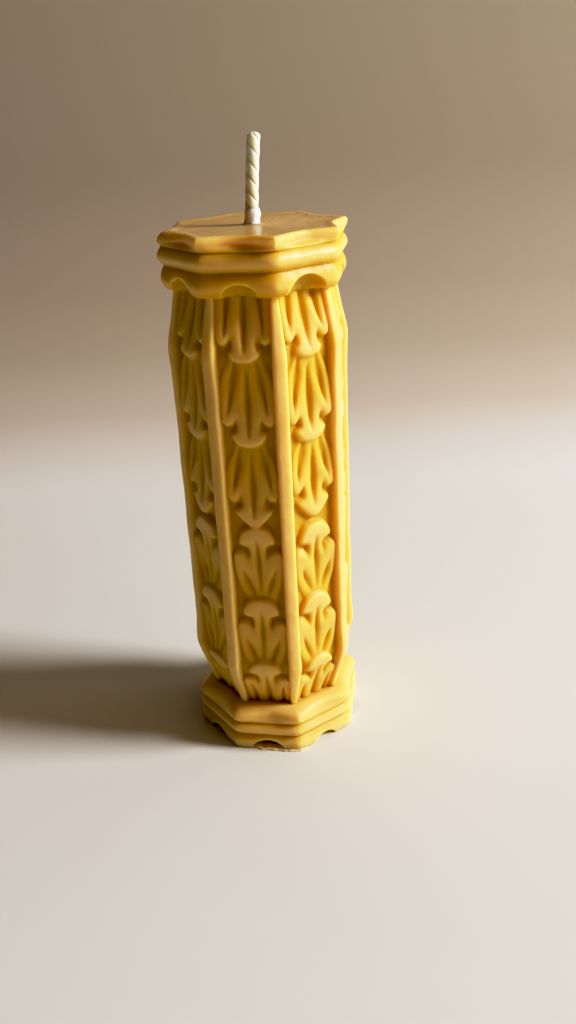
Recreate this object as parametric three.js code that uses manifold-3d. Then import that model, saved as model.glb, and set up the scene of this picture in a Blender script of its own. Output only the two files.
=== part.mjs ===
// A moulded beeswax candle shaped as an eight-sided column.
// Ribs run up its corners, a chain of carved leaves fills each panel, and a
// three-layer moulding makes both the foot and the capital. A twisted cotton
// wick of three strands runs through the middle.
// Millimetres, +Z up, origin at the centre of the underside, panels facing X and Y.

import * as THREE from "three";
import { mergeVertices } from "three/addons/utils/BufferGeometryUtils.js";
import Module from "manifold-3d";

const wasm = await Module();
wasm.setup();

// Column
const sides = 8;
const waxHeight = 126.6;
const footHeight = 11.4;
const capitalHeight = 12.6;

// Ribs on the corners of the column
const ribRadius = 20.5;
const ribWidth = 3;
const ribEndWidth = 1.4;
const ribRelief = 2.1;

// The column draws in towards the foot, and less towards the capital
const neckHeight = 12.8;
const footNeckDepth = 3.6;
const capitalNeckDepth = 2.2;
const neckEase = 1.2;
const neckSteps = 3;

// Leaves
const rowsPerHalf = 3;
const leafHidden = 0.28;
const leafSideGap = 0.3;
const leafStep = 1.2;
const leafBelowRib = 0.1;
const leafTipGap = 0.35;
const veinDepth = 1.5;
const veinWidth = 1.8;
const sideVeinWidth = 2;
const veinLift = 0.2;

// Mouldings: three layers, measured out from the ribs
const mouldingOverhang = 0.5;
const topLayerShare = 0.28;
const middleLayerShare = 0.32;
const layerSetBack = 0.3;
const cornerRounding = 3;
const layerRoll = 1.5;
const capitalScallop = 2.8;
const footScallop = 3.8;
const scallopPoints = 6;
const archWidth = 8.8;
const archRise = 0.85;
const archInnerShare = 0.6;
const archClearance = 0.5;
const archFacets = 10;

// Wick
const wickDiameter = 2.9;
const wickFreeLength = 18.6;
const wickClearance = 0.3;
const wickRecess = 0.3;
const wickLean = 1.4;
const wickLeanHeading = 10.97;
const strandCount = 3;
const strandGap = 0.3;
const layPitch = 9.2;
const stepsPerLay = 7;
const strandSides = 5;

// Sizes that follow from the ones above
const turn = 2 * Math.PI;
const sideAngle = turn / sides;
const toFlat = Math.cos(sideAngle / 2);
const shaftFoot = footHeight;
const shaftTop = waxHeight - capitalHeight;
const shaftMiddle = (shaftFoot + shaftTop) / 2;
const leafPitch = (shaftTop - shaftFoot) / (2 * (rowsPerHalf - leafHidden));
const groundRadius = ribRadius - ribRelief;
const leafFace = ribRadius * toFlat + leafBelowRib;
const leafHalfWidth = (leafFace * Math.sin(sideAngle / 2) - ribWidth / 2) / toFlat - leafSideGap;
const leafThickness = leafFace - groundRadius * toFlat + leafStep;
const shingleTilt = Math.atan2(leafStep, leafPitch);
const mouldingRadius = ribRadius + mouldingOverhang;
const boreRadius = wickDiameter / 2 + wickClearance;
const overCut = 1;

// A closed three.js geometry as a solid that can be joined and cut.
function solid(geometry) {
  const bare = geometry.clone();
  bare.deleteAttribute("normal");
  bare.deleteAttribute("uv");
  const merged = mergeVertices(bare, 1e-4);
  return new wasm.Manifold(new wasm.Mesh({
    numProp: 3,
    vertProperties: new Float32Array(merged.attributes.position.array),
    triVerts: new Uint32Array(merged.index.array),
  }));
}

// A joined or cut solid as a geometry again.
function geometryOf(body) {
  const mesh = body.getMesh();
  const geometry = new THREE.BufferGeometry();
  geometry.setAttribute("position", new THREE.BufferAttribute(mesh.vertProperties, 3));
  geometry.setIndex(new THREE.BufferAttribute(mesh.triVerts, 1));
  geometry.computeVertexNormals();
  return geometry;
}

function join(solids) {
  return solids.reduce((all, next) => all.add(next));
}

// Copies of one geometry, one for each side, the first at the given heading.
function aroundColumn(geometry, firstHeading) {
  const copies = [];
  for (let side = 0; side < sides; side += 1) {
    copies.push(solid(geometry.clone().rotateZ(firstHeading + side * sideAngle)));
  }
  return copies;
}

// How much of the nearer neck a height has reached, from 0 on the shaft to 1 at its end.
function neckShare(z) {
  const fromEnd = Math.min(z - shaftFoot, shaftTop - z);
  return THREE.MathUtils.clamp(1 - fromEnd / neckHeight, 0, 1) ** neckEase;
}

// How far the column has drawn in at a height, in radius.
function neckInset(z) {
  return neckShare(z) * (z < shaftMiddle ? footNeckDepth : capitalNeckDepth);
}

// Heights at which the neck curves are drawn: closer at both ends, none between.
function shaftStations() {
  const stations = [];
  for (let step = 0; step <= neckSteps; step += 1) {
    stations.push(shaftFoot + (neckHeight * step) / neckSteps);
  }
  for (let step = neckSteps; step >= 0; step -= 1) {
    stations.push(shaftTop - (neckHeight * step) / neckSteps);
  }
  return stations;
}

// The ground of the panels: an eight-sided turned core, flats facing X and Y.
function columnCore() {
  const profile = [new THREE.Vector2(0, 0)];
  profile.push(new THREE.Vector2(groundRadius - footNeckDepth, 0));
  for (const z of shaftStations()) {
    profile.push(new THREE.Vector2(groundRadius - neckInset(z), z));
  }
  profile.push(new THREE.Vector2(groundRadius - capitalNeckDepth, waxHeight));
  profile.push(new THREE.Vector2(0, waxHeight));
  const core = new THREE.LatheGeometry(profile, sides, sideAngle / 2);
  core.rotateX(Math.PI / 2);
  return solid(core);
}

// One rib along +X: a bar whose face follows the neck and whose ends narrow.
function ribBar() {
  const stations = shaftStations();
  stations.unshift(shaftFoot - overCut);
  stations.push(shaftTop + overCut);
  const bar = new THREE.BoxGeometry(1, 1, 1, 1, 1, stations.length - 1);
  const position = bar.attributes.position;
  for (let i = 0; i < position.count; i += 1) {
    const station = Math.round((position.getZ(i) + 0.5) * (stations.length - 1));
    const z = stations[station];
    const inset = neckInset(z);
    const width = THREE.MathUtils.lerp(ribWidth, ribEndWidth, neckShare(z));
    const outer = position.getX(i) > 0;
    const radius = outer ? ribRadius - inset : groundRadius - inset - ribWidth;
    position.setXYZ(i, radius, position.getY(i) * width, z);
  }
  return bar;
}

// A place on a leaf, u across in half widths and v from its tip to its root in pitches.
function onLeaf(u, v) {
  return new THREE.Vector2(u * leafHalfWidth, v * leafPitch);
}

// A curve from start to end, drawn towards pull, all given on the leaf.
function leafEdge(start, pull, end) {
  const curve = new THREE.QuadraticBezierCurve(onLeaf(...start), onLeaf(...pull), onLeaf(...end));
  return curve.getPoints(2);
}

// Outline of a hanging leaf: a crescent fan at the tip, a neck, and two round side
// lobes whose outer edges run back to the root under the leaf above.
function hangingOutline() {
  const fan = leafEdge([0, 0], [0.58, 0], [0.7, 0.15]);
  const lobe = leafEdge([0.46, 0.33], [0.82, 0.17], [1, 0.36]);
  const flank = leafEdge([1.02, 0.62], [0.98, 0.86], [0.62, 1]);
  return mirrored([...fan, onLeaf(0.43, 0.21), ...lobe, ...flank, onLeaf(0.4, 1.17)]);
}

// Outline of a standing leaf: a rounder fan, lower lobes, and a narrower root.
function standingOutline() {
  const fan = leafEdge([0, 0], [0.64, 0], [0.75, 0.235]);
  const lobe = leafEdge([0.36, 0.42], [0.84, 0.26], [1, 0.42]);
  const flank = leafEdge([1.02, 0.62], [0.94, 0.88], [0.46, 0.95]);
  return mirrored([...fan, onLeaf(0.4, 0.31), ...lobe, ...flank, onLeaf(0.36, 1.17)]);
}

// The whole outline, from the points of its right half.
function mirrored(right) {
  const left = right.slice(1).reverse().map((point) => new THREE.Vector2(-point.x, point.y));
  return new THREE.Shape([...right, ...left]);
}

// A vein cutter: an eight-faced spindle from one place on the leaf to another,
// widest at the given share of its length, its middle a little above the leaf's face.
function vein(from, to, wideShare, width) {
  const spindle = new THREE.OctahedronGeometry(1);
  const position = spindle.attributes.position;
  const length = from.distanceTo(to);
  const height = veinDepth + veinLift;
  const halfWidth = ((width / 2) * height) / veinDepth;
  for (let i = 0; i < position.count; i += 1) {
    const along = position.getY(i);
    const reach = along < 0 ? wideShare : 1 - wideShare;
    const y = (wideShare + along * reach) * length;
    position.setXYZ(i, position.getX(i) * halfWidth, y, position.getZ(i) * height);
  }
  spindle.rotateZ(Math.atan2(from.x - to.x, to.y - from.y));
  spindle.translate(from.x, from.y, veinLift);
  return solid(spindle);
}

// One leaf lying in the XY plane, tip at the origin, root towards +Y, face at z = 0.
// Its side veins run from the lobes, at sideFoot, to the root, at sideRoot.
function leafGeometry(outline, sideFoot, sideRoot) {
  const plate = new THREE.ExtrudeGeometry(outline, { depth: leafThickness, bevelEnabled: false });
  plate.translate(0, 0, -leafThickness);
  let leaf = solid(plate);
  leaf = leaf.subtract(vein(onLeaf(0, 0.15), onLeaf(0, 0.96), 0.45, veinWidth));
  for (const hand of [-1, 1]) {
    const from = onLeaf(hand * sideFoot[0], sideFoot[1]);
    const to = onLeaf(hand * sideRoot[0], sideRoot[1]);
    leaf = leaf.subtract(vein(from, to, 0.6, sideVeinWidth));
  }
  return geometryOf(leaf);
}

// The leaves of the panel that faces +X: hanging in the upper half, standing in the lower.
function panelLeaves() {
  const hanging = leafGeometry(hangingOutline(), [0.72, 0.48], [0.33, 1.04]);
  const standing = leafGeometry(standingOutline(), [0.7, 0.6], [0.24, 1]);
  const leaves = [];
  for (let row = 0; row < rowsPerHalf; row += 1) {
    const outermost = row === rowsPerHalf - 1;
    for (const half of [-1, 1]) {
      const copy = (half > 0 ? hanging : standing).clone();
      const neckTilt = Math.atan2(half > 0 ? capitalNeckDepth : footNeckDepth, neckHeight);
      copy.rotateX(outermost ? -neckTilt : -shingleTilt);
      copy.rotateX(Math.PI / 2);
      copy.rotateZ(Math.PI / 2);
      if (half < 0) {
        copy.rotateX(Math.PI);
      }
      copy.translate(leafFace, 0, shaftMiddle + half * (leafTipGap / 2 + row * leafPitch));
      leaves.push(copy);
    }
  }
  return leaves;
}

// An octagon with rounded corners, flats facing X and Y.
function octagonShape(radius) {
  const shape = new THREE.Shape();
  const centre = radius - cornerRounding;
  for (let side = 0; side < sides; side += 1) {
    const heading = (side + 0.5) * sideAngle;
    const x = centre * Math.cos(heading);
    const y = centre * Math.sin(heading);
    shape.absarc(x, y, cornerRounding, heading - sideAngle / 2, heading + sideAngle / 2, false);
  }
  return shape;
}

// A scalloped ring: hollows over the panels that meet in points at the corners.
function scallopShape(radius, depth) {
  const points = [];
  const count = sides * scallopPoints;
  for (let i = 0; i < count; i += 1) {
    const heading = (i / count) * turn;
    const r = radius - depth * Math.abs(Math.cos((sides / 2) * heading));
    points.push(new THREE.Vector2(r * Math.cos(heading), r * Math.sin(heading)));
  }
  return new THREE.Shape(points);
}

// One layer of a moulding: a plate with rolled edges between two heights.
function layer(shape, low, high) {
  const plate = new THREE.ExtrudeGeometry(shape, {
    depth: high - low - 2 * layerRoll,
    bevelThickness: layerRoll,
    bevelSize: layerRoll,
    bevelOffset: -layerRoll,
    bevelSegments: 2,
    curveSegments: 1,
  });
  plate.translate(0, 0, low + layerRoll);
  return solid(plate);
}

// The foot and the capital share one moulding: scalloped top layer, plain
// middle layer, and a bottom layer with an arch over each panel.
function moulding(low, height, neckDepth, scallopDepth) {
  const topFoot = low + height * (1 - topLayerShare);
  const middleFoot = topFoot - height * middleLayerShare;
  const backRadius = (groundRadius - neckDepth) * toFlat - archClearance;
  const archLength = mouldingRadius + overCut - backRadius;
  const arch = new THREE.CylinderGeometry(1, archInnerShare, archLength, archFacets);
  arch.rotateZ(-Math.PI / 2);
  arch.scale(1, archWidth / 2, archRise * (middleFoot - low));
  arch.translate(backRadius + archLength / 2, 0, low);
  let bottom = layer(octagonShape(mouldingRadius), low, middleFoot);
  for (const cut of aroundColumn(arch, 0)) {
    bottom = bottom.subtract(cut);
  }
  const middle = layer(octagonShape(mouldingRadius + layerSetBack), middleFoot, topFoot);
  const top = layer(scallopShape(mouldingRadius, scallopDepth), topFoot, low + height);
  const heart = new THREE.CylinderGeometry(1, 1, height, sides);
  heart.scale(backRadius, 1, backRadius);
  heart.rotateX(Math.PI / 2);
  heart.translate(0, 0, low + height / 2);
  return join([bottom, middle, top, solid(heart)]);
}

// The whole casting, with the bore that the wick fills.
function waxBody() {
  const bars = aroundColumn(ribBar(), sideAngle / 2);
  const leaves = panelLeaves().flatMap((leaf) => aroundColumn(leaf, 0));
  const foot = moulding(0, footHeight, footNeckDepth, footScallop);
  const capital = moulding(shaftTop, capitalHeight, capitalNeckDepth, capitalScallop);
  const bore = new THREE.CylinderGeometry(boreRadius, boreRadius, waxHeight + 2 * overCut, 20);
  bore.rotateX(Math.PI / 2);
  bore.translate(0, 0, waxHeight / 2);
  const body = join([columnCore(), ...bars, ...leaves, foot, capital]);
  return geometryOf(body.subtract(solid(bore)));
}

// The middle line of one strand: a left-handed helix that leans over once it leaves the wax.
class StrandCurve extends THREE.Curve {
  constructor(phase, radius) {
    super();
    this.phase = phase;
    this.radius = radius;
  }

  getPoint(t, target = new THREE.Vector3()) {
    const length = waxHeight + wickFreeLength - wickRecess;
    const z = wickRecess + t * length;
    const free = Math.max(0, z - waxHeight) / wickFreeLength;
    const lean = wickLean * free ** 1.4;
    const heading = THREE.MathUtils.degToRad(wickLeanHeading);
    const angle = this.phase - (turn * z) / layPitch;
    const x = lean * Math.cos(heading) + this.radius * Math.cos(angle);
    const y = lean * Math.sin(heading) + this.radius * Math.sin(angle);
    return target.set(x, y, z);
  }
}

// One strand of the wick, round in section, laid against its two neighbours.
function wickStrand(index) {
  const spread = 2 * Math.sin(Math.PI / strandCount);
  const radius = ((wickDiameter / 2) * spread - strandGap) / (2 + spread);
  const layRadius = wickDiameter / 2 - radius;
  const section = new THREE.Shape();
  for (let corner = 0; corner < strandSides; corner += 1) {
    const angle = (corner * turn) / strandSides;
    const place = new THREE.Vector2(radius * Math.cos(angle), radius * Math.sin(angle));
    section[corner === 0 ? "moveTo" : "lineTo"](place.x, place.y);
  }
  const length = waxHeight + wickFreeLength - wickRecess;
  return new THREE.ExtrudeGeometry(section, {
    steps: Math.round((length / layPitch) * stepsPerLay),
    extrudePath: new StrandCurve((index * turn) / strandCount, layRadius),
  });
}

const beeswax = new THREE.MeshStandardMaterial({ color: 0xd9a441, roughness: 0.5, metalness: 0 });
const cotton = new THREE.MeshStandardMaterial({ color: 0xeed9ae, roughness: 0.9, metalness: 0 });

const candle = new THREE.Group();

const wax = new THREE.Mesh(waxBody(), beeswax);
wax.name = "wax_body";
candle.add(wax);

for (let index = 0; index < strandCount; index += 1) {
  const strand = new THREE.Mesh(wickStrand(index), cotton);
  strand.name = `wick_strand_${index + 1}`;
  candle.add(strand);
}

export default candle;
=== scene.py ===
"""A moulded beeswax candle in the form of an eight-sided column, with a twisted cotton wick.

The sections follow the candle as it is made: the wick, the foot, the column and the capital
that are cast round it, and then the table, the light and the camera. Lengths are millimetres
until a mesh is finished, and panels face the X and Y axes.
"""

import math

import bmesh
import bpy
import numpy as np
from mathutils import Matrix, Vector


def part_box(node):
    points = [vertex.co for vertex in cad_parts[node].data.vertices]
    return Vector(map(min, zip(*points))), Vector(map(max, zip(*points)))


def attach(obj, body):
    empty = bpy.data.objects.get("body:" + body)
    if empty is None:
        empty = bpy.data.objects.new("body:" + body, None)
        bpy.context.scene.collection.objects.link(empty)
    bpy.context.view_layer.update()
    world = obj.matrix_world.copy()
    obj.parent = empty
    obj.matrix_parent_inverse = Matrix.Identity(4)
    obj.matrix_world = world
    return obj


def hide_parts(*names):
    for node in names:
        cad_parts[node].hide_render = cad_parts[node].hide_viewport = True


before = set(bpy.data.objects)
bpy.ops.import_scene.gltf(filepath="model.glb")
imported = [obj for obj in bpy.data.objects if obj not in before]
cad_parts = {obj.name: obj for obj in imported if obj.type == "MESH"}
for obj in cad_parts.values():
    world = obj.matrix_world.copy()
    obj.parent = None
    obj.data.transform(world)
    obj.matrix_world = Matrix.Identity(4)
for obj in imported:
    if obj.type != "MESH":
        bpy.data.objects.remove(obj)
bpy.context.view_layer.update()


# Wick strands
# Three bleached cotton yarns, laid together left-handed and primed with clear wax, which rounds
# their creases and tips. They run the whole height of the candle and lean a little at the top.
mm = 0.001
turn = 2 * math.pi
wax_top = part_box("wax_body")[1].z / mm
trimmed_off = 0.6
wick_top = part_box("wick_strand_1")[1].z / mm - trimmed_off
wick_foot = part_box("wick_strand_1")[0].z / mm
wick_radius = 1.45
strand_count = 3
strand_radius = 1.26
strand_gap = 0.02
lay_pitch = 9.2
wick_lean = 1.4
wick_lean_power = 1.4
wick_heading = math.radians(10.97)
steps_per_lay = 36
strand_sides = 24
tip_height = 0.9
tip_rounding = 0.97
fibres_round = 3
fibres_along = 0.25
yarns_apart = 40


class Number:
    """A socket that carries a number. Arithmetic on it adds Math nodes."""

    def __init__(self, shader, socket):
        self.shader = shader
        self.socket = socket

    def maths(self, operation, first, second=0.0):
        made = self.shader.node("ShaderNodeMath", {"operation": operation}, {0: first, 1: second})
        return Number(self.shader, made.outputs[0])

    def __add__(self, other):
        return self.maths("ADD", self, other)

    def __sub__(self, other):
        return self.maths("SUBTRACT", self, other)

    def __rsub__(self, other):
        return self.maths("SUBTRACT", other, self)

    def __mul__(self, other):
        return self.maths("MULTIPLY", self, other)

    __radd__ = __add__
    __rmul__ = __mul__


class Shader:
    """The nodes of one material, round its Principled BSDF, or of the air, round its Background."""

    def __init__(self, name, library=bpy.data.materials, surface="Principled BSDF"):
        self.owner = library.new(name)
        self.owner.use_nodes = True
        self.tree = self.owner.node_tree
        self.surface = self.tree.nodes[surface]

    def node(self, kind, settings, sockets):
        """Adds a node: its settings first, and then the values or links of its sockets."""
        made = self.tree.nodes.new(kind)
        for name, value in settings.items():
            if name == "stops":
                self.set_stops(made.color_ramp.elements, value)
            else:
                setattr(made, name, value)
        self.feed(made, sockets)
        return made

    def set_stops(self, elements, stops):
        while len(elements) < len(stops):
            elements.new(1.0)
        for element, (position, colour) in zip(elements, stops):
            element.position = position
            element.color = (*colour, 1)

    def feed(self, node, sockets):
        for name, value in sockets.items():
            socket = value.socket if isinstance(value, Number) else value
            if isinstance(socket, bpy.types.NodeSocket):
                self.tree.links.new(socket, node.inputs[name])
            else:
                node.inputs[name].default_value = value

    def attribute(self, name, output="Fac"):
        made = self.node("ShaderNodeAttribute", {"attribute_name": name}, {})
        return Number(self, made.outputs[output])

    def noise(self, place, scale, detail=3.0, roughness=0.5):
        made = self.node("ShaderNodeTexNoise", {}, {"Vector": place, "Scale": scale, "Detail": detail,
                                                    "Roughness": roughness})
        return Number(self, made.outputs["Fac"])

    def ramp(self, factor, stops):
        made = self.node("ShaderNodeValToRGB", {"stops": stops}, {"Fac": factor})
        return made.outputs["Color"]

    def mix(self, factor, first, second):
        made = self.node("ShaderNodeMix", {"data_type": "RGBA"}, {0: factor, 6: first, 7: second})
        return made.outputs[2]

    def bump(self, height, distance, strength):
        made = self.node("ShaderNodeBump", {}, {"Height": height, "Distance": distance,
                                                "Strength": strength})
        return made.outputs["Normal"]

    def object_place(self):
        return self.node("ShaderNodeTexCoord", {}, {}).outputs["Object"]


def finish_piece(mesh, name, material):
    """Turns a finished mesh in millimetres into a piece of the candle."""
    mesh.transform(Matrix.Scale(mm, 4))
    mesh.materials.append(material)
    mesh.shade_smooth()
    piece = bpy.data.objects.new(name, mesh)
    bpy.context.scene.collection.objects.link(piece)
    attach(piece, "root")
    return piece


def places_of(mesh):
    flat = np.empty(len(mesh.vertices) * 3)
    mesh.vertices.foreach_get("co", flat)
    return flat.reshape(-1, 3)


def add_values(mesh, name, values, kind="FLOAT"):
    layer = mesh.attributes.new(name, kind, "POINT")
    layer.data.foreach_set("value" if kind == "FLOAT" else "vector", values.astype(np.float32).ravel())


def lean_at(height):
    """How far the wick has leant over at a height, along X and along Y."""
    free = np.clip((height - wax_top) / (wick_top - wax_top), 0, 1)
    lean = wick_lean * free ** wick_lean_power
    return lean * math.cos(wick_heading), lean * math.sin(wick_heading)


def strand_section(bm, phase):
    """One strand cut across: a round yarn, flattened where it is pressed against its neighbours."""
    section = bmesh.ops.create_circle(bm, segments=strand_sides, radius=1)["verts"]
    lay_radius = wick_radius - strand_radius
    wedge = math.pi / strand_count
    for vert in section:
        x, y = vert.co.x, vert.co.y
        reach = strand_radius
        leaving = abs(y) * math.cos(wedge) - x * math.sin(wedge)
        if leaving > 1e-6:
            reach = min(reach, (lay_radius * math.sin(wedge) - strand_gap) / leaving)
        vert.co = (lay_radius + reach * x, reach * y, 0)
    bmesh.ops.rotate(bm, verts=section, matrix=Matrix.Rotation(phase, 3, "Z"))
    return section


def strand_mesh(index):
    """A strand: its section, wound up the wick as a screw, rounded at the tip and leant over."""
    length = wick_top - wick_foot
    steps = round(length / lay_pitch * steps_per_lay)
    twist = -turn * length / lay_pitch
    bm = bmesh.new()
    section = strand_section(bm, index * turn / strand_count - turn * wick_foot / lay_pitch)
    bmesh.ops.translate(bm, verts=section, vec=(0, 0, wick_foot))
    bmesh.ops.spin(bm, geom=bm.verts[:] + bm.edges[:], cent=(0, 0, 0), axis=(0, 0, 1), angle=twist,
                   steps=steps, dvec=(0, 0, length / steps))
    bmesh.ops.holes_fill(bm, edges=[edge for edge in bm.edges if edge.is_boundary], sides=0)
    bmesh.ops.recalc_face_normals(bm, faces=bm.faces)
    mesh = bpy.data.meshes.new(f"twisted_wick_strand_{index + 1}")
    bm.to_mesh(mesh)
    bm.free()
    place = places_of(mesh)
    around = np.arctan2(place[:, 1], place[:, 0]) + turn * place[:, 2] / lay_pitch
    along = place[:, 2] * fibres_along + yarns_apart * index
    yarn = np.stack([np.cos(around) * fibres_round, np.sin(around) * fibres_round, along], 1)
    add_values(mesh, "yarn", yarn, "FLOAT_VECTOR")
    in_tip = np.clip((place[:, 2] - wick_top + tip_height) / tip_height, 0, tip_rounding)
    place[:, :2] *= np.sqrt(1 - in_tip ** 2)[:, None]
    lean_x, lean_y = lean_at(place[:, 2])
    place[:, 0] += lean_x
    place[:, 1] += lean_y
    mesh.vertices.foreach_set("co", place.ravel())
    return mesh


def primed_cotton():
    """Cream cotton under a thin coat of clear wax, a little uneven along its fibres."""
    shader = Shader("primed_cotton")
    yarn = shader.attribute("yarn", "Vector")
    fibres = shader.noise(yarn, 2.2, 4)
    cloud = shader.noise(shader.object_place(), 420, 2)
    cream = shader.ramp(fibres * 0.6 + cloud * 0.4,
                        [(0.3, (0.98, 0.86, 0.60)), (0.7, (1.0, 0.95, 0.78))])
    shader.feed(shader.surface, {
        "Base Color": cream,
        "Roughness": 0.6,
        "Subsurface Weight": 1.0,
        "Subsurface Radius": (1.0, 0.8, 0.6),
        "Subsurface Scale": 1.1 * mm,
        "Normal": shader.bump(fibres, 0.1 * mm, 0.6),
    })
    return shader.owner


cotton = primed_cotton()
for index in range(strand_count):
    strand = finish_piece(strand_mesh(index), f"twisted_wick_strand_{index + 1}", cotton)
    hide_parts(f"wick_strand_{index + 1}")


# Foot
# The lowest part of the casting: three stacked layers, the bottom one cut by an arch under each
# panel, so that the candle stands on eight lobes. It is one with the column and the capital.
sides = 8
side_angle = turn / sides
columns_per_panel = 52
columns = sides * columns_per_panel
bore_radius = 1.5
hidden_radius = 12.0
octagon_sharpness = 50
shrinkage = 0.12
side_rows = 45
rim_rows = 14
roll_rows = 9
underside_rows = 22
hollow_fade = 1.6
# Corner radii between which the wax goes from sunk to proud; its colour follows them as painted shade
# where sunk and painted highlight where proud.
sunk_radius = 19.8
proud_radius = 21.3
drawn_up_height = 0.5
drawn_up_reach = 0.6
slump_heading = math.radians(-174)
slump_spread = math.radians(34)
foot_height = 11.4
foot_form = {
    "profile": [(0, 21.0), (1.9, 21.4), (3.9, 20.1), (5.7, 21.4), (7.4, 20.1), (8.9, 21.4),
                (foot_height, 21.4)],
    "rim_foot": 7.4,
    "hollow": 2.6,
    "hollow_power": 1.2,
    "arch_rises": (2.3, 2.1, 2.4, 2.2, 2.0, 2.4, 2.9, 2.2),
    "arch_slope": 1.45,
    "arch_reach": 2.2,
    "lobe_lift": 0.0,
    "roll_reach": 3.9,
    "roll_height": 2.5,
    "slump": 0.0,
    "dish": 0.4,
    "face_rows": 12,
    "inner_radius": hidden_radius,
    "poured": 0.15,
    "seed": 11,
}


def ripple(place, wavelength, seed):
    """Smooth seeded unevenness from about -1 to 1, made of a few crossing waves."""
    random = np.random.default_rng(seed)
    total = np.zeros(len(place))
    for _ in range(8):
        wave = random.normal(size=3)
        wave *= turn * random.uniform(0.7, 1.4) / (wavelength * np.linalg.norm(wave))
        total += np.sin(place @ wave + random.uniform(0, turn))
    return total / 4


def cast_ring(name, place, values):
    """A closed ring of faces: a grid, numbered by its squares, pressed into place and welded shut.

    place is rows x columns x 3; the last row joins the first.
    """
    rows, steps = place.shape[:2]
    bm = bmesh.new()
    bmesh.ops.create_grid(bm, x_segments=steps, y_segments=rows, size=1)
    mesh = bpy.data.meshes.new(name)
    bm.to_mesh(mesh)
    flat = places_of(mesh)
    column = np.rint((flat[:, 0] + 1) / 2 * steps).astype(int) % steps
    row = np.rint((flat[:, 1] + 1) / 2 * rows).astype(int) % rows
    mesh.vertices.foreach_set("co", place[row, column].ravel())
    for key, value in values.items():
        add_values(mesh, key, value[row, column])
    bm.clear()
    bm.from_mesh(mesh)
    bmesh.ops.remove_doubles(bm, verts=bm.verts, dist=1e-5)
    bmesh.ops.recalc_face_normals(bm, faces=bm.faces)
    bm.to_mesh(mesh)
    bm.free()
    return mesh


def weathered(place, amount, seed):
    """Moves the surface in and out a little, as hand-poured wax shrinks unevenly."""
    flat = place.reshape(-1, 3)
    push = 0.7 * ripple(flat, 14, seed) + 0.3 * ripple(flat, 4, seed + 1)
    outward = flat * (1, 1, 0)
    length = np.maximum(np.linalg.norm(outward, axis=1), 1e-6)
    off_axis = np.clip((length - 4) / 6, 0, 1)
    moved = flat + outward / length[:, None] * (push * amount * off_axis)[:, None]
    return moved.reshape(place.shape)


def smooth(share):
    share = np.clip(share, 0, 1)
    return share * share * (3 - 2 * share)


def octagon(heading):
    """Radius of an octagon with softened corners, as a share of its corner radius."""
    local = (heading + side_angle / 2) % side_angle - side_angle / 2
    total = sum(np.cos(local - side * side_angle) ** octagon_sharpness for side in (-1, 0, 1))
    corner = 2 * math.cos(side_angle / 2) ** octagon_sharpness
    return (total / corner) ** (-1 / octagon_sharpness)


def along_profile(z, profile):
    """Radius at a height: between the stations of the profile it swells quickly and rounds over."""
    heights, radii = np.array(profile).T
    after = np.clip(np.searchsorted(heights, z), 1, len(heights) - 1)
    low, high = radii[after - 1], radii[after]
    share = np.clip((z - heights[after - 1]) / (heights[after] - heights[after - 1]), 0, 1)
    share = np.where(high < low, 1 - share, share)
    swell = 0.35 * smooth(share) + 0.65 * np.sqrt(1 - (1 - share) ** 2)
    return np.minimum(low, high) + np.abs(high - low) * swell


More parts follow.
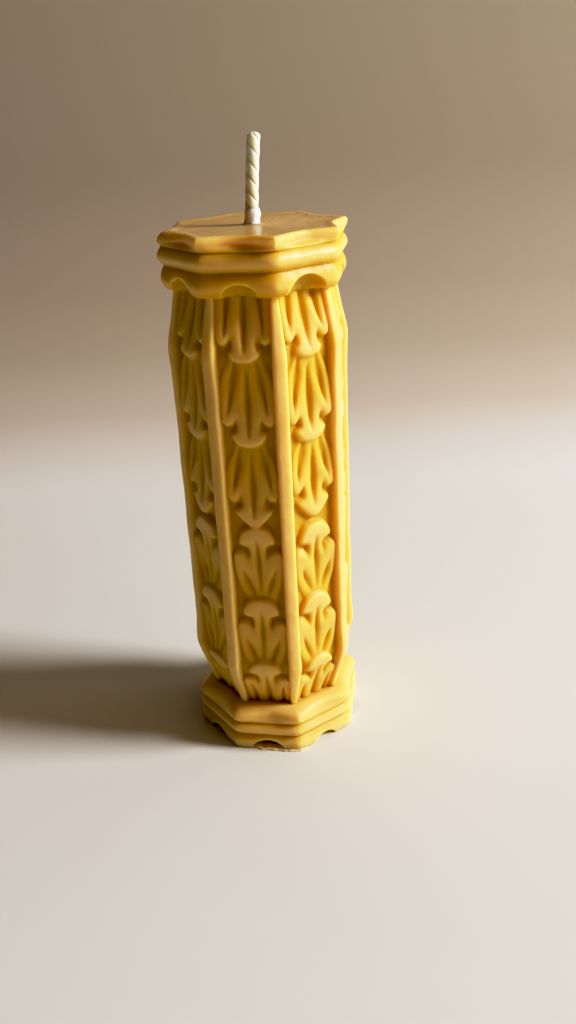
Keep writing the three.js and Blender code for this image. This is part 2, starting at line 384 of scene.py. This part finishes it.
def moulding(name, low, form):
    """One moulding: its three layers, its arches with domed niches behind, and its top face."""
    profile = form["profile"]
    rim_foot = form["rim_foot"]
    height = profile[-1][0]
    heading = (np.arange(columns) / columns_per_panel - 0.5) * side_angle
    local = (heading + side_angle / 2) % side_angle - side_angle / 2
    hollow = form["hollow"] * np.cos(sides / 2 * local).clip(0, 1) ** form["hollow_power"]
    off_slump = (heading - slump_heading + math.pi) % turn - math.pi
    sunk_here = np.exp(-(off_slump / slump_spread) ** 2)
    slump = form["slump"] * sunk_here
    hollow *= 1 - 0.6 * sunk_here * (form["slump"] > 0)
    roll_reach = form["roll_reach"] * (1 - 0.13 * hollow) + 1.2 * slump
    roll_height = form["roll_height"] + slump
    rise = np.repeat(form["arch_rises"], columns_per_panel)
    arch_half = rise * form["arch_slope"]
    lip = along_profile(form["lobe_lift"] + 0 * heading, profile) * octagon(heading)
    rows = []
    painted_light_reliefs = []
    poureds = []

    def add(radius, z, relief, poured=0.0):
        radius = radius + 0 * heading
        level = low + z + 0 * heading
        rows.append(np.stack([radius * np.cos(heading), radius * np.sin(heading), level], 1))
        painted_light_reliefs.append(relief + 0 * heading)
        poureds.append(poured * form["poured"] + 0 * heading)

    def under(radius):
        across = radius * np.sin(local)
        behind = (lip - radius) * np.cos(local)
        dome = 1 - (across / arch_half) ** 2 - (behind / form["arch_reach"]) ** 2
        return np.maximum(form["lobe_lift"], rise * np.sqrt(np.maximum(dome, 0)))

    def add_side(z):
        corner = along_profile(z, profile)
        flat = corner * octagon(heading)
        radius = flat + (corner - hollow - flat) * smooth((z - rim_foot) / hollow_fade)
        add(radius, z, np.clip((corner - sunk_radius) / (proud_radius - sunk_radius), 0, 1))
        return radius

    lip_height = under(lip)
    for share in np.linspace(0, 1, side_rows)[:-1]:
        add_side(lip_height + (rim_foot - lip_height) * share)
    for share in np.linspace(0, 1, rim_rows):
        edge = add_side(rim_foot + (height - roll_height - rim_foot) * share)
    # The rounded top edge and the top face are marked poured, which makes them smoother and paints them
    # darker as shade.
    for angle in np.linspace(0, math.pi / 2, roll_rows)[1:]:
        add(edge - roll_reach * (1 - math.cos(angle)), height - roll_height * (1 - math.sin(angle)),
            0.9, math.sin(angle) ** 4)
    edge = edge - roll_reach
    for share in np.linspace(0, 1, form["face_rows"])[1:]:
        radius = edge + (form["inner_radius"] - edge) * share
        sunk = form["dish"] * smooth((edge - radius) / 2)
        drawn_up = drawn_up_height * np.exp(-(radius - bore_radius) / drawn_up_reach)
        add(radius, height - sunk + drawn_up, 0.75, 1.0)
    add(bore_radius, height - form["dish"] + drawn_up_height, 0.75, 1.0)
    add(bore_radius, 1.0, 0.2)
    # The niches behind the arches: their colour is painted dark as shade, deepest far inside.
    for share in np.linspace(1, 0, underside_rows)[:-1]:
        radius = lip + (hidden_radius - lip) * share
        add(radius, under(radius), 0.1 + 0.3 * (1 - share))
    place = weathered(np.array(rows), shrinkage, form["seed"])
    return cast_ring(name, place, {"relief": np.array(painted_light_reliefs), "poured": np.array(poureds)})


def beeswax():
    """Golden filtered beeswax that light soaks into, with painted shade and highlight: deeper amber in
    hollows, paler on proud edges, darker on the poured top.
    """
    shader = Shader("golden_beeswax")
    place = shader.object_place()
    relief = shader.attribute("relief")
    poured = shader.attribute("poured")
    cloud = shader.noise(place, 70, 3)
    ripples = shader.noise(place, 260, 2)
    grain = shader.noise(place, 900, 4, 0.6)
    # Painted shade and highlight: the colour sinks to deep amber in hollows and pales on proud places,
    # with some random tone from the cloud.
    depth = relief * 0.9 + cloud * 0.3 - 0.1
    honey_and_painted_light = shader.ramp(depth, [(0.0, (0.56, 0.31, 0.015)), (0.5, (0.72, 0.45, 0.06)),
                                (1.0, (0.85, 0.59, 0.22))])
    # Painted shade: the poured top face and its rounded edge get a darker, duller colour for the dim light
    # that falls on them.
    painted_top_shade = shader.ramp(cloud, [(0.3, (0.45, 0.29, 0.09)), (0.7, (0.54, 0.37, 0.16))])
    shader.feed(shader.surface, {
        "Base Color": shader.mix(poured, honey_and_painted_light, painted_top_shade),
        "Roughness": 0.28 + cloud * 0.14 + grain * 0.06 - poured * 0.12,
        "Specular IOR Level": 0.28,
        "Subsurface Weight": 1.0,
        "Subsurface Radius": (1.0, 0.85, 0.4),
        "Subsurface Scale": 3.6 * mm,
        "IOR": 1.44,
        "Normal": shader.bump(ripples + grain * 0.12, 0.5 * mm, 0.6),
    })
    return shader.owner


wax = beeswax()
foot = finish_piece(moulding("wax_foot", 0, foot_form), "wax_foot", wax)
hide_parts("wax_body")


# Flash
# A thin skin of wax that crept under the mould's edge and set on the table. It shows as a pale,
# broken rim round the lobes at the front, across the mouth of the arch there.
flash_columns = 480
flash_front = math.radians(-80)
flash_spread = math.radians(28)
flash_radius = 21.75
flash_hidden_radius = 17.5
flash_height = 0.45
# The skin cut across, from its hidden underside over the edge: how far in, and share of the height.
flash_section = [(-2.5, 0.05), (-0.25, 0.02), (-0.02, 0.1), (0, 0.5), (-0.06, 0.85), (-0.3, 1.0),
                 (-0.9, 0.8), (-2.5, 0.6)]


def flash_mesh():
    """The skin as a ragged ring: it reaches past the lobes at the front and hides under them elsewhere."""
    around = np.arange(flash_columns) / flash_columns * turn
    off_front = (around - flash_front + math.pi) % turn - math.pi
    shows = np.exp(-(off_front / flash_spread) ** 4)
    rim = np.stack([20 * np.cos(around), 20 * np.sin(around), 0 * around], 1)
    ragged = 0.22 * ripple(rim, 3.5, 71) + 0.12 * ripple(rim, 1.4, 72)
    edge = flash_radius * octagon(around) + ragged
    outer = flash_hidden_radius + (edge - flash_hidden_radius) * shows
    height = flash_height + 0.2 * ripple(rim, 2.6, 73) * shows
    rows = []
    for inset, level in flash_section:
        radius = outer + inset
        rows.append(np.stack([radius * np.cos(around), radius * np.sin(around), height * level], 1))
    return cast_ring("wax_flash", np.array(rows), {})


def skin_of_wax():
    """Wax so thin that it looks pale and cloudy instead of golden."""
    shader = Shader("thin_pale_wax")
    cloud = shader.noise(shader.object_place(), 400, 3)
    shader.feed(shader.surface, {
        "Base Color": shader.ramp(cloud, [(0.35, (0.84, 0.64, 0.26)), (0.65, (0.95, 0.86, 0.58))]),
        "Roughness": 0.35,
        "IOR": 1.44,
    })
    return shader.owner


flash = finish_piece(flash_mesh(), "wax_flash", skin_of_wax())
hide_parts("wax_body")


# Column
# The carved shaft of the casting. Ribs run up its eight corners, and a chain of leaves fills each
# panel: three hang from the capital, each over the next, and three stand on the foot.
capital_height = 12.6
shaft_foot = foot_height
shaft_top = wax_top - capital_height
shaft_middle = (shaft_foot + shaft_top) / 2
shaft_overlap = 4.0
rows_per_half = 3
leaf_pitch = (shaft_top - shaft_foot) / (2 * (rows_per_half - 0.28))
leaf_tip_gap = 0.35
rib_radius = 20.5
rib_half_width = 1.5
rib_end_half_width = 0.7
to_flat = math.cos(side_angle / 2)
neck_height = 12.8
foot_neck_depth = 3.6
capital_neck_depth = 2.2
shoulder_swell = 0.35
leaf_apothem = 19.04
ground_apothem = 17.25
leaf_step = 1.2
leaf_half_width = 6.15
leaf_length = 23.0
leaf_skirt = 0.1
leaf_edge_round = 0.5
leaf_crown = 0.35
deepest_hollow = 2.2
half_columns = columns_per_panel // 2
rib_shares = np.array([1.0, 0.86, 0.6, 0.3, 0.0])
rib_rounding = np.array([0.42, 0.12, 0.03, 0.0, 0.0])
face_columns = half_columns - len(rib_shares)
column_rows = 236
row_crowding = 0.4
column_crowding = 0.2
fan_middle = 3.2
neck_ease = 1.2
shoulder_reach = 5.0
# Each leaf, from the middle of the column outwards: the fan's half width, the height of its
# points, where its curve is drawn to, and the height of the side lobes.
hanging_leaves = [(4.75, 4.6, (0.42, 0.14), 6.5), (4.15, 3.1, (0.8, 0.0), 4.75),
                  (3.5, 2.35, (0.8, 0.0), 3.7)]
standing_leaves = [(4.5, 4.1, (0.86, 0.0), 6.2), (4.5, 4.1, (0.86, 0.0), 6.2),
                   (4.15, 3.1, (0.8, 0.0), 5.2)]
# Leaves that sit off their even places, by panel, half of the column and row.
shifted_leaves = {(6, 1, 0): 1.1, (6, -1, 1): -0.3, (6, -1, 2): 1.0, (7, -1, 0): -1.2, (7, -1, 1): -1.1}


def bend(start, pull, end, steps):
    """Points of a curve from start to end, drawn towards pull, without its last point."""
    share = np.linspace(0, 1, steps + 1)[:-1, None]
    return ((1 - share) ** 2 * np.array(start) + 2 * share * (1 - share) * np.array(pull)
            + share ** 2 * np.array(end))


def hanging_edge(fan, point, pull, lobe):
    """Right edge of a hanging leaf: a crescent fan, a neck, and a round lobe that runs to the root."""
    side = leaf_half_width
    return [
        bend((0, 0), (pull[0] * fan, pull[1] * point), (fan, point), 8),
        bend((fan, point), (0.8 * fan, point + 0.3), (2.6, point + 0.8), 3),
        bend((2.6, point + 0.8), (2.4, lobe + 0.4), (2.8, lobe + 1.5), 3),
        bend((2.8, lobe + 1.5), (3.4, lobe - 0.1), (4.7, lobe), 4),
        bend((4.7, lobe), (side, lobe + 0.1), (side, lobe + 2.6), 4),
        bend((side, lobe + 2.6), (side + 0.1, 11), (side, 13), 3),
        bend((side, 13), (5.9, 16.6), (4.4, 17.9), 4),
        bend((4.4, 17.9), (3.5, 19), (3.3, leaf_length), 3),
    ]


def standing_edge(fan, point, pull, lobe):
    """Right edge of a standing leaf: a rounder fan, a curled notch under it, and a lower lobe."""
    side = leaf_half_width
    return [
        bend((0, 0), (pull[0] * fan, pull[1] * point), (fan, point), 8),
        bend((fan, point), (fan - 0.2, point + 0.8), (2.5, point + 1.1), 4),
        bend((2.5, point + 1.1), (1.5, point + 1.6), (2.1, lobe + 2), 4),
        bend((2.1, lobe + 2), (2.7, lobe + 0.1), (4.8, lobe), 5),
        bend((4.8, lobe), (side, lobe), (side, lobe + 2), 4),
        bend((side, lobe + 2), (side + 0.05, 11), (6.0, 13), 3),
        bend((6.0, 13), (5.6, 15.8), (4.4, 17.6), 4),
        bend((4.4, 17.6), (3.5, 19), (3.3, leaf_length), 3),
    ]


def whole_outline(edge):
    right = np.concatenate(edge + [np.array([[3.3, leaf_length]])])
    left = right[:0:-1] * (-1, 1)
    return np.concatenate([right, left])


def leaf_veins(hanging, row, point, lobe):
    """Veins of a leaf: start, end, share of the length where it is widest, width and depth."""
    if hanging:
        middle = ((0, 1.4 + 0.3 * point), (0, 18.5), 0.45, 2.3, 2.0)
        side = ((4.4, lobe + 2.9), (2.1, 19.8), 0.6, 2.4, 2.1)
        if row == 2:
            side = ((4.2, lobe + 1.9), (2.8, 19.8), 0.5, 2.3, 2.1)
    elif row < 2:
        middle = ((0, 2.5), (0, 17.5), 0.45, 1.7, 1.7)
        side = ((4.25, lobe + 5.0), (1.4, 18.2), 0.5, 1.7, 1.6)
    else:
        middle = ((0, 2.9), (0, 22.0), 0.5, 1.9, 1.7)
        side = ((4.0, lobe + 2.4), (3.6, 22.0), 0.5, 1.9, 1.8)
    veins = [middle]
    for hand in (-1, 1):
        start, end = side[:2]
        veins.append(((hand * start[0], start[1]), (hand * end[0], end[1]), *side[2:]))
    return veins


def depth_inside(across, along, outline):
    """Distance from each place to the outline, above zero inside it."""
    nearest = np.full(across.shape, 1e9)
    inside = np.zeros(across.shape, bool)
    for (x0, y0), (x1, y1) in zip(outline, np.roll(outline, -1, 0)):
        dx, dy = x1 - x0, y1 - y0
        share = np.clip(((across - x0) * dx + (along - y0) * dy) / (dx * dx + dy * dy), 0, 1)
        nearest = np.minimum(nearest, np.hypot(across - x0 - share * dx, along - y0 - share * dy))
        if y0 != y1:
            crosses = (y0 > along) != (y1 > along)
            inside ^= crosses & (across < x0 + (along - y0) * dx / dy)
    return np.where(inside, nearest, -nearest)


def vein_cut(across, along, vein):
    """Depth of a pointed vein with a V-shaped bed and soft shoulders."""
    start, end, wide_share, width, depth = vein
    dx, dy = end[0] - start[0], end[1] - start[1]
    length = math.hypot(dx, dy)
    share = ((across - start[0]) * dx + (along - start[1]) * dy) / length ** 2
    aside = np.abs((across - start[0]) * dy - (along - start[1]) * dx) / length
    reach = np.where(share < wide_share, share / wide_share, (1 - share) / (1 - wide_share))
    reach = np.clip(reach, 0, 1)
    half = np.maximum(width / 2 * reach ** 0.7, 1e-3)
    bed = np.clip(1 - aside / half, 0, 1) * reach ** 0.3
    shoulder = 0.22 * np.exp(-(aside / (0.8 * width)) ** 2) * reach
    return depth * np.maximum(bed, shoulder)


def leaf_surface(across, along, face, ground, hanging, row):
    """Height of one leaf over the panel; where there is no leaf, the ground."""
    fan, point, pull, lobe = (hanging_leaves if hanging else standing_leaves)[row]
    edge = (hanging_edge if hanging else standing_edge)(fan, point, pull, lobe)
    inside = depth_inside(across, along, whole_outline(edge))
    rounded = np.clip((inside + leaf_skirt) / leaf_edge_round, 0, 1)
    shoulder = np.sqrt(1 - (1 - rounded) ** 2)
    crown = leaf_crown * (1 - np.exp(-np.maximum(inside, 0) / 0.9)) - 0.25
    cut = np.zeros(across.shape)
    for vein in leaf_veins(hanging, row, point, lobe):
        cut = np.maximum(cut, vein_cut(across, along, vein))
    height = ground + (face + crown - cut - ground) * shoulder
    return np.where((inside > -leaf_skirt) & (along < leaf_length), height, ground)


def softened(surface):
    """The surface with each place drawn a little towards its neighbours, as wax fills small corners."""
    soft = surface.copy()
    soft[1:-1] = 0.5 * surface[1:-1] + 0.25 * (surface[:-2] + surface[2:])
    out = soft.copy()
    out[:, 1:-1] = 0.5 * soft[:, 1:-1] + 0.25 * (soft[:, :-2] + soft[:, 2:])
    return out


def shaft_row_heights():
    """Heights of the rows, closer together where the fans of the leaves need them."""
    reach = (shaft_top - shaft_foot) / 2 + shaft_overlap
    even = np.linspace(-reach, reach, column_rows)
    swing = row_crowding * leaf_pitch / turn
    shift = (np.sin(turn * (np.abs(even) - fan_middle) / leaf_pitch)
             + math.sin(turn * fan_middle / leaf_pitch))
    return shaft_middle + np.sign(even) * (np.abs(even) - swing * shift)


def column_mesh():
    """The shaft: on every panel the highest of its six leaves and the ground, between two half ribs."""
    z = shaft_row_heights()[:, None]
    from_end = np.minimum(z - shaft_foot, shaft_top - z)
    neck = np.clip(1 - from_end / neck_height, 0, 1) ** neck_ease
    swell = shoulder_swell * np.exp(-((from_end - neck_height) / shoulder_reach) ** 2)
    drawn_in = neck * np.where(z < shaft_middle, foot_neck_depth, capital_neck_depth) - swell
    face = leaf_apothem - drawn_in * to_flat
    ground = ground_apothem - drawn_in * to_flat
    half_rib = rib_half_width + (rib_end_half_width - rib_half_width) * neck
    rib_edge = (face * math.sin(side_angle / 2) - half_rib) / to_flat
    step = np.arange(-half_columns, half_columns)
    hand = np.sign(step)
    share = np.minimum(np.abs(step) / face_columns, 1)
    share = share + column_crowding * np.sin(math.pi * share) / math.pi
    across = hand * share * rib_edge
    on_rib = np.abs(step) > face_columns
    rib_place = np.clip(np.abs(step) - face_columns - 1, 0, len(rib_shares) - 1)
    lean = smooth((share - 0.35) / 0.65) * side_angle / 2
    random = np.random.default_rng(5)
    place = np.zeros((column_rows, columns, 3))
    relief = np.zeros((column_rows, columns))
    for panel in range(sides):
        surface = ground + 0 * across
        for half in (-1, 1):
            for row in range(rows_per_half):
                tip = shaft_middle + half * (leaf_tip_gap / 2 + row * leaf_pitch)
                slip, slide, slant, swelling = random.normal(size=4) * (0.08, 0.15, 0.012, 0.012)
                slide = shifted_leaves.get((panel, half, row), slide)
                along = (z - tip) * half + slide + slant * across
                turned = across * leaf_half_width / (rib_edge + 0.1) + slip - slant * along
                turned = turned * (1 + swelling)
                top = face - leaf_step * along / leaf_pitch
                surface = np.maximum(surface, leaf_surface(turned, along, top, ground, half > 0, row))
        sunk = face - softened(surface)
        u = across - hand * sunk * np.sin(lean)
        w = face - sunk * np.cos(lean)
        # Painted shade and highlight: the colour darkens the deeper a place is sunk, and the ribs get the
        # palest.
        painted_light_relief_here = np.clip(1 - sunk / deepest_hollow, 0, 1)
        rib = rib_radius - drawn_in - rib_rounding[rib_place] * half_rib / rib_half_width
        aside = rib_shares[rib_place] * half_rib
        corner_angle = hand * side_angle / 2
        rib_w = rib * np.cos(corner_angle) + hand * aside * np.sin(corner_angle)
        rib_u = rib * np.sin(corner_angle) - hand * aside * np.cos(corner_angle)
        u = np.where(on_rib, rib_u, u)
        w = np.where(on_rib, rib_w, w)
        painted_light_relief_here = np.where(on_rib, 1.0, painted_light_relief_here)
        heading = panel * side_angle
        at = panel * columns_per_panel + step + half_columns
        place[:, at, 0] = w * math.cos(heading) - u * math.sin(heading)
        place[:, at, 1] = w * math.sin(heading) + u * math.cos(heading)
        place[:, at, 2] = z
        relief[:, at] = painted_light_relief_here
    place = weathered(place, shrinkage, 21)
    around = np.arange(columns) / columns * turn - side_angle / 2
    bore = np.stack([bore_radius * np.cos(around), bore_radius * np.sin(around), 0 * around], 1)
    top_ring = bore + (0, 0, z[-1, 0])
    foot_ring = bore + (0, 0, z[0, 0])
    place = np.concatenate([place, top_ring[None], foot_ring[None]])
    relief = np.concatenate([relief, np.zeros((2, columns))])
    return cast_ring("wax_column", place, {"relief": relief, "poured": 0 * relief})


column = finish_piece(column_mesh(), "wax_column", wax)
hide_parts("wax_body")


# Capital
# The top of the casting has the same three layers as the foot, a little taller. Its top face is
# the open side of the mould, where the wax set smooth, slumped at one side and drew up at the wick.
capital_form = {
    "profile": [(0.2, 19.6), (2.5, 20.95), (5.35, 19.8), (7.4, 21.25), (9.4, 20.0), (11.8, 21.5),
                (capital_height, 21.3)],
    "rim_foot": 9.4,
    "hollow": 3.5,
    "hollow_power": 1.0,
    "arch_rises": (3.7, 3.4, 3.8, 3.5, 3.4, 3.6, 3.2, 4.1),
    "arch_slope": 1.2,
    "arch_reach": 2.35,
    "lobe_lift": 0.3,
    "roll_reach": 1.1,
    "roll_height": 0.9,
    "slump": 1.7,
    "dish": 0.3,
    "face_rows": 30,
    "inner_radius": 2.0,
    "poured": 1.0,
    "seed": 31,
}
capital = finish_piece(moulding("wax_capital", shaft_top, capital_form), "wax_capital", wax)
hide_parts("wax_body")


# Waxed foot of the wick
# Where the wick stands out of the wax it keeps a thicker, whiter coat of its own primer, rough and
# a little wider than the cotton, with a small lump on its right as the camera sees it.
view_heading = math.radians(9.7)
coat_sides = 64
coat_rows = 37
coat_inner_radius = 0.9
# Height over the wax and radius, up the outside of the coat and down its inside.
coat_stations = [(-0.9, 1.3), (-0.3, 1.9), (0.1, 1.78), (0.6, 1.64), (1.6, 1.62), (2.5, 1.6),
                 (3.1, 1.48), (3.4, 1.2), (3.1, coat_inner_radius), (-0.7, coat_inner_radius)]


def coat_mesh():
    around = np.arange(coat_sides) / coat_sides * turn
    share = np.linspace(0, len(coat_stations) - 1, coat_rows)
    levels, reaches = np.array(coat_stations).T
    level = np.interp(share, np.arange(len(coat_stations)), levels)
    reach = np.interp(share, np.arange(len(coat_stations)), reaches)
    heading, rise = np.meshgrid(around, level)
    radius = reach[:, None] + 0 * heading
    rim = np.stack([1.6 * np.cos(heading), 1.6 * np.sin(heading), rise], 2).reshape(-1, 3)
    outside = np.clip((radius - coat_inner_radius) / 0.3, 0, 1)
    lump = 0.3 * np.exp(-((heading - view_heading) / 0.5) ** 2 - ((rise - 1.8) / 0.7) ** 2)
    radius = radius + outside * (0.07 * ripple(rim, 1.5, 51).reshape(radius.shape) + lump)
    lean_x, lean_y = lean_at(wax_top + rise)
    place = np.stack([radius * np.cos(heading) + lean_x, radius * np.sin(heading) + lean_y,
                      wax_top + rise], 2)
    return cast_ring("wick_foot_coat", place, {})


def primer_coat():
    """Pale hard wax, clouded with tiny bubbles."""
    shader = Shader("pale_primer_wax")
    speck = shader.noise(shader.object_place(), 1500, 3)
    shader.feed(shader.surface, {
        "Base Color": shader.ramp(speck, [(0.35, (0.94, 0.88, 0.78)), (0.65, (0.98, 0.96, 0.90))]),
        "Roughness": 0.5,
        "Subsurface Weight": 1.0,
        "Subsurface Radius": (1.0, 0.85, 0.7),
        "Subsurface Scale": 1.0 * mm,
        "Normal": shader.bump(speck, 0.25 * mm, 0.9),
    })
    return shader.owner


coat = finish_piece(coat_mesh(), "wick_foot_coat", primer_coat())
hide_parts("wax_body")


# Table and backdrop
# A plain pale surface that curves up into a wall behind the candle, with painted shade darkening it
# towards the top. Its sizes are metres.
wall_distance = 0.26
sweep_radius = 0.12
sweep_steps = 24
stage_half_width = 1.2
stage_front = -1.2
wall_height = 0.9


def pale_stage():
    """Matt plaster whose colour follows its height: palest on the floor, painted duller up the wall as
    shade.
    """
    shader = Shader("pale_plaster")
    place = shader.object_place()
    height = Number(shader, shader.node("ShaderNodeSeparateXYZ", {}, {"Vector": place}).outputs["Z"])
    cloud = shader.noise(place, 9, 3)
    shader.feed(shader.surface, {
        "Base Color": shader.ramp(height * 5.0 + cloud * 0.03, [
            (0.015, (0.70, 0.70, 0.667)), (0.033, (0.65, 0.63, 0.60)), (0.10, (0.51, 0.46, 0.39)),
            (0.21, (0.41, 0.36, 0.29)), (0.34, (0.38, 0.32, 0.255)), (0.9, (0.37, 0.33, 0.255))]),
        "Roughness": 0.8,
    })
    return shader.owner


bm = bmesh.new()
floor_back = wall_distance - sweep_radius
line = [bm.verts.new((0, y, 0)) for y in (stage_front, floor_back)]
bm.edges.new(line)
bmesh.ops.spin(bm, geom=[line[1]], cent=(0, floor_back, sweep_radius), axis=(1, 0, 0),
               angle=math.pi / 2, steps=sweep_steps)
top_vert = max(bm.verts, key=lambda vert: (vert.co.z, vert.co.y))
raised = bmesh.ops.extrude_vert_indiv(bm, verts=[top_vert])["verts"]
bmesh.ops.translate(bm, verts=raised, vec=(0, 0, wall_height))
bmesh.ops.translate(bm, verts=bm.verts, vec=(-stage_half_width, 0, 0))
swept = bmesh.ops.extrude_edge_only(bm, edges=bm.edges[:])["geom"]
bmesh.ops.translate(bm, verts=[item for item in swept if isinstance(item, bmesh.types.BMVert)],
                    vec=(2 * stage_half_width, 0, 0))
bmesh.ops.rotate(bm, verts=bm.verts, matrix=Matrix.Rotation(view_heading, 3, "Z"))
stage_mesh = bpy.data.meshes.new("table")
bm.to_mesh(stage_mesh)
bm.free()
stage_mesh.shade_smooth()
stage_mesh.materials.append(pale_stage())
table = bpy.data.objects.new("table", stage_mesh)
bpy.context.scene.collection.objects.link(table)


# Light
# One window to the right of the camera, fairly low and small, a wide warm lamp for the room round
# it, and dim warm air. Where the air is looked at past the table, it is as pale as the wall.
candle_middle = Matrix.Translation((0, 0, 0.065))


def area_light(name, azimuth, elevation, distance, size, power, colour):
    """A disc of light aimed at the middle of the candle. Azimuth 0 is the camera's side, 90 its right."""
    light = bpy.data.lights.new(name, "AREA")
    light.shape = "DISK"
    light.size = size
    light.energy = power
    light.color = colour
    lamp = bpy.data.objects.new(name, light)
    heading = math.radians(azimuth - 90) + view_heading
    rise = math.radians(elevation)
    aim = Matrix.Rotation(heading + math.pi / 2, 4, "Z") @ Matrix.Rotation(math.pi / 2 - rise, 4, "X")
    lamp.matrix_world = candle_middle @ aim @ Matrix.Translation((0, 0, distance))
    bpy.context.scene.collection.objects.link(lamp)


area_light("window", 82, 30, 1.6, 0.46, 39.5, (0.96, 0.94, 0.965))
area_light("room", 60, 36, 1.3, 1.4, 3.8, (1.0, 0.62, 0.36))
air = Shader("room_air", bpy.data.worlds, "Background")
looked_at = air.node("ShaderNodeLightPath", {}, {}).outputs["Is Camera Ray"]
air.feed(air.surface, {"Color": air.mix(looked_at, (0.015, 0.011, 0.0075, 1), (0.40, 0.37, 0.32, 1))})
bpy.context.scene.world = air.owner
# The picture's tones: shade sinks to a full deep colour and bright wax rolls off towards cream.
view = bpy.context.scene.view_settings
view.view_transform = "Standard"
view.use_curve_mapping = True
view.curve_mapping.clip_max_x = 2
view.curve_mapping.black_level = (0.0, 0.003, 0.013)
tone = view.curve_mapping.curves[3]
tone.points[0].location = (0.01, 0)
tone.points[1].location = (1.9, 1)
for light_in, light_out in ((0.1, 0.07), (0.22, 0.18), (0.4, 0.39), (0.68, 0.69), (1.1, 0.91)):
    tone.points.new(light_in, light_out)
view.curve_mapping.update()


# Camera
# Placed where the photograph was taken from: close, above the candle and rolled a little.
camera_place = (0.0395, -0.2038, 0.1533)
camera_pitch = math.radians(24.83)
camera_roll = math.radians(-2.88)
camera_data = bpy.data.cameras.new("camera")
camera_data.sensor_width = 36
camera_data.lens = 32.38
camera = bpy.data.objects.new("camera", camera_data)
aim = (Matrix.Rotation(view_heading, 4, "Z") @ Matrix.Rotation(math.pi / 2 - camera_pitch, 4, "X")
       @ Matrix.Rotation(camera_roll, 4, "Z"))
camera.matrix_world = Matrix.Translation(camera_place) @ aim
bpy.context.scene.collection.objects.link(camera)
bpy.context.scene.camera = camera
